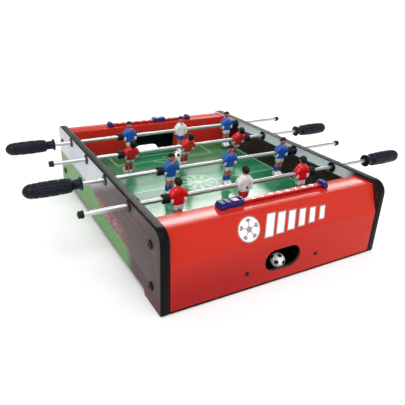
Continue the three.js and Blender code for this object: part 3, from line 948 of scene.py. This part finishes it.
def handle(name, start, side, centre, body):
    profile = handle_profile()
    flutes = 12

    def groove(i, angle):
        wave = max(0, math.cos(flutes * angle)) ** 2
        return 1 - 0.11 * profile[i][2] * wave

    rings = turned([(start + distance, radius) for distance, radius, _ in profile], 144, groove)
    shape = Shape()
    shape.skin(rings, place=centre @ facing_x(side))
    make(shape, f"{name}_grip", body, [GRIP_PLASTIC], [name], crease=50)


def rod_assembly(number, team, tilt):
    name = f"rod_{number}"
    spin, slide = f"{name}_spin", f"{name}_slide"
    centre = Matrix.Translation(rod_anchor(number)) @ Matrix.Rotation(math.radians(tilt), 4, "X")
    side = 1 if team == "red" else -1
    rod_low, rod_high = node_box(name)
    grip_low, grip_high = node_box(f"{name}_handle")
    cap_low, cap_high = node_box(f"{name}_end_cap")
    x = rod_anchor(number).x
    start = min(abs(grip_low.x - x), abs(grip_high.x - x))
    cap_end = max(abs(cap_low.x - x), abs(cap_high.x - x))
    cap_start = min(abs(cap_low.x - x), abs(cap_high.x - x))

    tube = Shape()
    near, far = rod_low.x - x, rod_high.x - x
    profile = [(near, 2.9), (near + 0.5, ROD_RADIUS), (far - 0.5, ROD_RADIUS), (far, 2.9)]
    tube.skin(turned(profile), place=centre)
    make(tube, f"{name}_tube", spin, [CHROME], [name])

    handle(f"{name}_handle", start, side, centre, spin)

    cap = Shape()
    cap.skin(turned([(-cap_start, 3.6), (-cap_start, 4.8), (-cap_start - 0.4, 5.3), (-cap_start - 2.6, 5.3),
                     (-cap_start - 3.0, 5.0), (-cap_end + 1.2, 5.0), (-cap_end + 0.4, 4.6), (-cap_end, 3.8),
                     (-cap_end, 2.4), (-cap_end + 0.7, 2.0)], 40), place=centre @ facing_x(side))
    make(cap, f"{name}_end_cap_plug", spin, [BLACK_PLASTIC], [f"{name}_end_cap"])

    for end in ("left", "right"):
        node = f"{name}_{end}_bumper"
        low, high = node_box(node)
        shape = Shape()
        near, far = low.x - x, high.x - x
        profile = [(near, 7.3, 1.1), (near + 4.2, 7.3, 0.3), (near + 4.6, 6.7, 0.3), (near + 5.4, 6.7, 0.3),
                   (near + 5.8, 7.3, 0.3), (far, 7.3, 1.1)]
        shape.skin(ring(profile, RUNNING_BORE), place=Matrix.Translation(rod_anchor(number)), closed=True)
        make(shape, f"{node}_ring", slide, [RUBBER], [node])

    for k, spot in enumerate(("left", "middle", "right")):
        keeper = number in (1, 4) and spot == "middle"
        at = centre @ Matrix.Translation(((k - 1) * PLAYER_SPACING, 0, 0))
        if side > 0:
            at = at @ HALF_TURN
        player(f"{name}_{spot}_player", at, spin, team, keeper)


# ------------------------------------------------------------------ players
SHIRT, SLEEVE, SHORTS, SKIN_PART, SOCKS, BOOTS, HAIR_PART, DARK, LIPS = range(9)
HEAD = (0, 0.2, 22.0)


def head_shape(way):
    """A plain doll's head: a narrower jaw, a low nose, shallow eye sockets and a soft brow."""
    jaw = 1 - 0.20 * max(0, -way.z) ** 1.5
    ahead = max(0, -way.y)
    nose = 0.17 * math.exp(-(way.x / 0.16) ** 2 - ((way.z + 0.12) / 0.20) ** 2) * ahead
    sockets = sum(0.06 * math.exp(-((way.x - s * 0.36) / 0.18) ** 2 - ((way.z - 0.14) / 0.14) ** 2)
                  for s in (-1, 1)) * ahead
    chin = 0.05 * math.exp(-(way.x / 0.3) ** 2 - ((way.z + 0.72) / 0.18) ** 2) * ahead
    return jaw + nose - sockets + chin


def hair_shape(way):
    """Outside the head above the hairline, and inside it below, so that the skin covers it there."""
    hairline = 0.12 - 0.38 * way.y if way.y < 0 else 0.12 - 0.9 * way.y
    inside = 1 / (1 + math.exp(-18 * (way.z - hairline)))
    strands = 0.02 * math.sin(9 * math.atan2(way.y, way.x) + 6 * way.z)
    return 0.86 + (0.24 + strands) * inside


def add_head(shape):
    neck = [(12.5, 0, 0.6, 3.5, 3.5), (15, 0, 0.5, 3.3, 3.3), (18, 0, 0.3, 3.6, 3.8)]
    shape.skin(upright(neck, 0), SKIN_PART)
    shape.skin(blob(HEAD, (5.5, 6.2, 6.9), head_shape, 28, 20), SKIN_PART)
    shape.skin(blob(HEAD, (5.6, 6.3, 6.9), hair_shape, 32, 20), HAIR_PART)
    for side in (-1, 1):
        shape.skin(blob((side * 5.3, 0.8, 21.8), (0.8, 1.3, 1.8), None, 10, 8), SKIN_PART)
        shape.skin(blob((side * 1.95, -5.35, 23.0), (0.75, 0.5, 0.55), None, 10, 8), DARK)
        shape.skin(blob((side * 2.0, -5.45, 24.5), (1.25, 0.5, 0.3), None, 10, 8), HAIR_PART)
    shape.skin(blob((0, -5.15, 18.7), (1.5, 0.55, 0.3), None, 10, 8), LIPS)


def add_shirt(shape):
    shape.skin(blob((0, -3.9, 13.0), (2.3, 2.3, 3.6), None, 16, 12), SKIN_PART)
    shape.skin(upright([
        (-11.0, 0, 0, 7.9, 5.4), (-10.7, 0, 0, 8.7, 6.2), (-9.6, 0, 0, 9.0, 6.5), (-6, 0, 0, 8.5, 6.4),
        (-2, 0, 0.1, 8.3, 6.3), (2, 0, 0, 8.8, 6.6), (6, 0, -0.2, 9.7, 6.9), (9.5, 0, 0, 10.1, 6.6),
        (12.0, 0, 0.2, 9.0, 5.8), (13.8, 0, 0.4, 6.6, 4.9), (15.0, 0, 0.5, 4.3, 4.2),
        (15.3, 0, 0.5, 3.6, 3.7),
    ], 0.25, 28), SHIRT)
    shape.skin(upright([(14.2, 0, 0.5, 4.6, 4.5), (15.0, 0, 0.5, 4.5, 4.4), (15.9, 0, 0.5, 4.1, 4.1),
                        (15.9, 0, 0.5, 3.6, 3.6)], 0, 24), SHIRT)
    for side in (-1, 1):
        shape.skin(sideways([(side * x, y, z, d, h) for x, y, z, d, h in (
            (6.0, 0, 5.0, 6.0, 7.0), (8.6, 0, 4.6, 6.2, 7.0), (10.6, 0, 3.6, 6.0, 6.6),
            (12.0, 0, 2.4, 5.7, 6.0), (13.2, 0, 1.2, 5.4, 5.5), (13.8, 0, 0.6, 5.2, 5.2),
            (13.98, 0, 0.3, 4.8, 4.8))], 0.12, 24), SHIRT)
        shape.skin(upright([(z, side * x, y, w, d) for z, x, y, w, d in (
            (-1.2, 10.6, 0, 2.4, 4.8), (-0.6, 10.6, 0, 3.0, 5.7), (1.0, 10.4, 0, 3.1, 6.1),
            (3.5, 10.0, 0, 3.2, 6.1), (7.0, 9.2, 0, 2.8, 5.6))], 0.2, 24), SHIRT)
        shape.skin(upright([(z, side * x, y, w, d) for z, x, y, w, d in (
            (-8.4, 10.8, 0.1, 1.6, 3.6), (-8.0, 10.8, 0.1, 2.4, 4.7), (-6.4, 10.8, 0, 2.8, 5.4),
            (-1.2, 10.7, 0, 3.1, 6.0), (-0.6, 10.7, 0, 2.9, 5.6))], 0.2, 24), SLEEVE)


def add_legs(shape):
    shape.skin(upright([(-17.6, 0, 0, 6.8, 4.4), (-16.6, 0, 0, 7.8, 5.4), (-13, 0, 0, 8.2, 5.9),
                        (-9, 0, 0, 7.9, 5.8)], 0.25, 24), SHORTS)
    for side in (-1, 1):
        x = side * 3.95
        shape.skin(upright([(-19.2, x, -0.1, 3.2, 4.2), (-18.8, x, -0.1, 3.9, 5.2), (-16.5, x, 0, 4.0, 5.4),
                            (-13, x, 0, 3.9, 5.2)], 0.2), SHORTS)
        shape.skin(upright([(-31.0, x, 0, 2.8, 3.3), (-28.5, x, -0.4, 3.1, 3.8), (-26.8, x, -0.5, 3.2, 3.9),
                            (-24, x, -0.2, 3.1, 3.9), (-18, x, 0, 3.4, 4.4)], 0.05), SKIN_PART)
        shape.skin(upright([(-42.5, x, 0.6, 2.7, 3.1), (-40, x, 0.6, 2.8, 3.3), (-35.5, x, 0.7, 3.35, 4.0),
                            (-31.6, x, 0.3, 3.3, 3.9), (-31.2, x, 0.2, 3.6, 4.2), (-29.4, x, 0, 3.6, 4.2),
                            (-29.0, x, 0, 3.2, 3.8)], 0.05), SOCKS)
        boot = [(4.9, x, -44.2, 2.2, 2.6), (4.2, x, -43.4, 3.1, 3.7), (1.4, x, -42.9, 3.4, 4.4),
                (-1.8, x, -43.2, 3.4, 4.1), (-4.0, x, -44.3, 3.6, 3.2), (-6.6, x, -45.1, 3.6, 2.5),
                (-8.5, x, -45.6, 3.1, 2.0), (-9.3, x, -45.9, 2.1, 1.4)]
        shape.skin(lengthways(boot, 0.25), BOOTS)
        sole = outline([(x - 3.4, 4.9, 1.6), (x + 3.4, 4.9, 1.6),
                        (x + 3.5, -9.4, 2.6), (x - 3.5, -9.4, 2.6)], 5)
        shape.skin([[(u, v, z) for u, v in sole] for z in (-48, -47.2)], BOOTS)


def player(node, place, body, team, keeper):
    kit = RED_KIT if team == "red" else BLUE_KIT
    shorts = kit if keeper else WHITE_KIT
    shirt = WHITE_KIT if keeper else kit
    shape = Shape()
    add_shirt(shape)
    add_legs(shape)
    add_head(shape)
    plug = turned([(0, 2.0), (-1.0, 1.9), (-1.0, 1.2), (-0.4, 1.1)], 20)
    on_back = Matrix.Translation((-1.5, 6.1, -4)) @ Matrix.Rotation(-math.pi / 2, 4, "Z")
    shape.skin(plug, DARK if keeper else SHIRT, place=on_back)
    moved = Shape()
    moved.points = [place @ point for point in shape.points]
    moved.faces, moved.finishes = shape.faces, shape.finishes
    finishes = [shirt, WHITE_KIT, shorts, SKIN, kit, WHITE_KIT, HAIR, BALL_BLACK, LIP]
    make(moved, f"{node}_figure", body, finishes, [node], crease=50)


# ------------------------------------------------------------------ scorers
def rounded_block(shape, low, high, finish=0, place=None, radius=1.5, edge=0.5):
    """A block with rounded upright corners and softened edges."""
    rim = outline([(low[0], low[1], radius), (high[0], low[1], radius),
                   (high[0], high[1], radius), (low[0], high[1], radius)], 4)
    middle = Matrix.Translation((0, 0, (low[2] + high[2]) / 2))
    shape.add_mesh(board([rim], high[2] - low[2], edge), finish, (place or Matrix.Identity(4)) @ middle)


def numeral_mesh(text, size):
    curve = bpy.data.curves.new("numeral", "FONT")
    curve.body = text
    curve.size = size
    curve.extrude = 0.12
    curve.offset = 0.12
    curve.align_x = "CENTER"
    curve.align_y = "CENTER"
    return curve_mesh(curve)


def scorer(end):
    off_centre = (TRACK_LOW.x + TRACK_HIGH.x) / 2 - BODY_X
    place = ENDS[end] @ Matrix.Translation((off_centre, -SCORER_Y, 0))
    low = TRACK_LOW.z
    clip_half = 5
    clip_x = (TRACK_HIGH.x - TRACK_LOW.x) / 2 - clip_half
    half_bar = (BAR_HIGH.x - BAR_LOW.x) / 2

    track = Shape()

    def track_block(near, far, radius, edge):
        rounded_block(track, near, far, 0, place, radius, edge)

    track_block((-clip_x, -1.2, low), (clip_x, 1.2, low + 0.8), 0.3, 0.2)
    for side in (-1, 1):
        near, far = side * clip_x - clip_half, side * clip_x + clip_half
        track_block((near, -9.5, low), (far, 9.5, low + 5.6), 2.8, 1.0)
        track_block((near + 1.0, -7.6, low + 5), (far - 1.0, 7.6, low + 9), 2.4, 1.2)
        for y in (-3.4, 0, 3.4):
            track_block((near + 2.4, y - 0.6, low + 8.6), (far - 2.4, y + 0.6, low + 9.3), 0.4, 0.25)
    make(track, f"{end}_scorer_clips", "table", [BLUE_PLASTIC], [f"{end}_scorer_track"])

    bar = Shape()
    top = BAR_HIGH.z
    rounded_block(bar, (-half_bar, -4.2, BAR_LOW.z), (half_bar, 4.2, top), 0, place, radius=0.6, edge=0.5)
    pitch = 2 * half_bar / 11
    for number in range(10):
        at = place @ Matrix.Translation(((number - 4.5) * pitch, 0, top + 0.05))
        bar.add_mesh(numeral_mesh(str(number), 10.5), 1, at @ Matrix.Scale(1.35, 4, (1, 0, 0)))
    finishes = [RED_PLASTIC, WHITE_INK]
    make(bar, f"{end}_scorer_bar", "table", finishes, [f"{end}_scorer_numbers"])

    node = f"{end}_scorer_slider"
    slider_low, slider_high = node_box(node)
    centre = Matrix.Translation(((slider_low.x + slider_high.x) / 2, (slider_low.y + slider_high.y) / 2, 0))
    centre = centre @ facing_x(1 if end == "front" else -1)
    half = (slider_high.x - slider_low.x) / 2
    depth = (slider_high.y - slider_low.y) / 2
    roof = top + 0.35
    body = Shape()

    def body_block(near, far, radius, edge, finish=0):
        rounded_block(body, near, far, finish, centre, radius, edge)

    for y in (-1, 1):
        near, far = sorted((y * 4.6, y * depth))
        body_block((-half, near, slider_low.z), (half, far, roof + 1), 0.8, 0.4)
    frame_height = slider_high.z - roof
    middle = centre @ Matrix.Translation((0, 0, roof + frame_height / 2))
    split = -half + 9
    rim = outline([(split, -depth, 2.2), (half, -depth, 2.2), (half, depth, 2.2), (split, depth, 2.2)], 5)
    opening = outline([(split + 3, -4.6, 1), (half - 3, -4.6, 1),
                       (half - 3, 4.6, 1), (split + 3, 4.6, 1)], 4)
    body.add_mesh(board([rim, opening], frame_height, 0.8), 0, middle)
    body_block((-half, -depth, roof), (split - 1.2, depth, slider_high.z - 0.2), 2.2, 0.8)
    body_block((split - 2, -depth + 1.2, roof), (split + 1, depth - 1.2, roof + 1.2), 0.4, 0.3)
    for x in (-half + 2.4, -half + 4.2, -half + 6):
        body_block((x - 0.5, -4.5, slider_high.z - 0.8), (x + 0.5, 4.5, slider_high.z), 0.3, 0.2)
    reading = (split + 3.4, -4.0, roof), (half - 7, 4.0, slider_high.z - 0.5)
    body_block(*reading, 0.8, 0.2, finish=1)
    well = (split + 2.6, -5.0, roof), (half - 2.6, 5.0, roof + 0.4)
    body_block(*well, 0.8, 0.1, finish=2)
    finishes = [BLUE_PLASTIC, PINK_READING, BLACK_PLASTIC]
    make(body, f"{node}_saddle", f"{end}_scorer", finishes, [node])


# ------------------------------------------------------------------ balls
def football(node, body, spin):
    """A smooth ball with twelve dark five-sided and twenty pale six-sided panels."""
    low, high = node_box(node)
    ball = bmesh.new()
    bmesh.ops.create_icosphere(ball, subdivisions=1, radius=1)
    bmesh.ops.bevel(ball, geom=ball.verts, offset=33.333, offset_type="PERCENT",
                    affect="VERTICES", segments=1)
    for face in ball.faces:
        face.material_index = 1 if len(face.verts) == 5 else 0
    bmesh.ops.inset_individual(ball, faces=ball.faces, thickness=0.03, depth=0.045)
    bmesh.ops.inset_individual(ball, faces=[f for f in ball.faces if len(f.verts) > 4], thickness=0.07)
    bmesh.ops.poke(ball, faces=[f for f in ball.faces if len(f.verts) > 4])
    bmesh.ops.subdivide_edges(ball, edges=ball.edges, cuts=2, use_grid_fill=True)
    for vert in ball.verts:
        vert.co = vert.co.normalized()
    mesh = bpy.data.meshes.new(f"{node}_panels")
    ball.to_mesh(mesh)
    ball.free()
    centre = (low + high) / 2
    mesh.transform(Matrix.Translation(centre * MM) @ spin @ Matrix.Scale(BALL_RADIUS * MM, 4))
    for finish in (BALL_WHITE, BALL_BLACK):
        mesh.materials.append(finish)
    mesh.shade_smooth()
    settle(mesh, f"{node}_panels", body, [node])


# ------------------------------------------------------------------ carried-over CAD nodes
def keep_node(node, material, bevel=0):
    piece = frame["nodes"][node]
    piece.data.materials.clear()
    piece.data.materials.append(material)
    if bevel:
        add_bevel(piece, bevel)


# ------------------------------------------------------------------ the model
side_panel("left_side_panel", -1)
side_panel("right_side_panel", 1)
keep_node("playfield", PITCH)
for end_name in ENDS:
    end_box(end_name)
    keep_node(f"{end_name}_ball_tray", TRAY_PLASTIC, bevel=0.5)
    scorer(end_name)
front_decal()
corner_bolts()
for number, (team, tilt) in enumerate(RODS, start=1):
    at = rod_anchor(number)
    bush(f"rod_{number}_left_bush", at.y, at.z, -1)
    bush(f"rod_{number}_right_bush", at.y, at.z, 1)
    rod_assembly(number, team, tilt)
football("tray_ball", "tray_ball_body", Matrix.Rotation(math.radians(20), 4, "X"))
football("pitch_ball", "pitch_ball_body", Matrix.Rotation(math.radians(-35), 4, "Y"))


# ------------------------------------------------------------------ stage, light and camera
# Name, width and height, watts, and place in X and Z of each lamp that the glossy tops mirror.
GLARE_LAMPS = [
    ("pitch_glare", (0.8, 0.44), 2.4, 0.85, 0.98),
    ("top_glare_left", (1.2, 0.40), 25, 1.0, 1.34),
    ("top_glare_right", (1.4, 0.36), 13, 2.3, 1.36),
]
GLARE_LAMP_Y = 1.9
FLOOR_REACH = 12000
FLOOR_WALL_HEIGHT = 3000
FLOOR_CURVE = 1500
WORLD_STRENGTH = 0.38
SUN_STRENGTH = 2.7
SUN_SPREAD = math.radians(70)
SUN_TURN = (math.radians(30), 0, math.radians(-30))
CAMERA_LENS = 39.71
CAMERA_PLACE = (BODY_X * MM - 0.37308, -0.66672, 0.37434)
CAMERA_TURN = [math.radians(angle) for angle in (64.832, -2.055, -28.978)]


def area_light(name, size, power, at, aim):
    light = bpy.data.lights.new(name, "AREA")
    light.shape = "RECTANGLE"
    light.size, light.size_y = size
    light.energy = power
    lamp = put(name, light)
    lamp.location = at
    lamp.rotation_euler = (Vector(aim) - Vector(at)).to_track_quat("-Z", "Y").to_euler()
    lamp.visible_camera = False


def cove(reach, height, radius, sides=96, steps=8):
    """A round pale floor that curves up into a wall far from the table."""
    arc = [(reach - radius + radius * math.sin(a), radius - radius * math.cos(a))
           for a in (math.pi / 2 * k / steps for k in range(steps + 1))]
    profile = [(reach * part, 0) for part in (0.02, 0.1, 0.3, 0.6)] + arc + [(reach, height)]
    rings = []
    for distance, z in profile:
        angles = [2 * math.pi * k / sides for k in range(sides)]
        rings.append([(distance * math.cos(a), distance * math.sin(a), z) for a in angles])
    shape = Shape()
    for inner, outer in zip(rings, rings[1:]):
        quads = [[k, (k + 1) % sides, (k + 1) % sides + sides, k + sides] for k in range(sides)]
        shape.add(inner + outer, quads)
    shape.add(rings[0], [list(range(sides))])
    return shape


def build_stage():
    mesh = to_mesh(cove(FLOOR_REACH, FLOOR_WALL_HEIGHT, FLOOR_CURVE), "floor", [studio_floor()])
    if mesh.polygons[0].normal.z < 0:
        mesh.flip_normals()
    put("floor", mesh)
    world = bpy.data.worlds.new("studio")
    world.use_nodes = True
    background = world.node_tree.nodes["Background"]
    background.inputs["Color"].default_value = (1, 1, 1, 1)
    background.inputs["Strength"].default_value = WORLD_STRENGTH
    bpy.context.scene.world = world
    sun = bpy.data.lights.new("overhead", "SUN")
    sun.energy = SUN_STRENGTH
    sun.angle = SUN_SPREAD
    put("overhead", sun).rotation_euler = SUN_TURN
    for name, size, power, x, z in GLARE_LAMPS:
        area_light(name, size, power, (x, GLARE_LAMP_Y, z), (x, 0, z))
    area_light("side", (1.5, 1.0), 1.2, (1.7, -1.2, 0.7), (0, -0.2, 0.06))
    bpy.context.scene.view_settings.view_transform = "Standard"


def build_camera():
    camera = bpy.data.cameras.new("camera")
    camera.lens = CAMERA_LENS
    camera.sensor_width = 36
    camera.clip_end = 100
    holder = put("camera", camera)
    holder.location = CAMERA_PLACE
    holder.rotation_euler = CAMERA_TURN
    bpy.context.scene.camera = holder


build_stage()
build_camera()
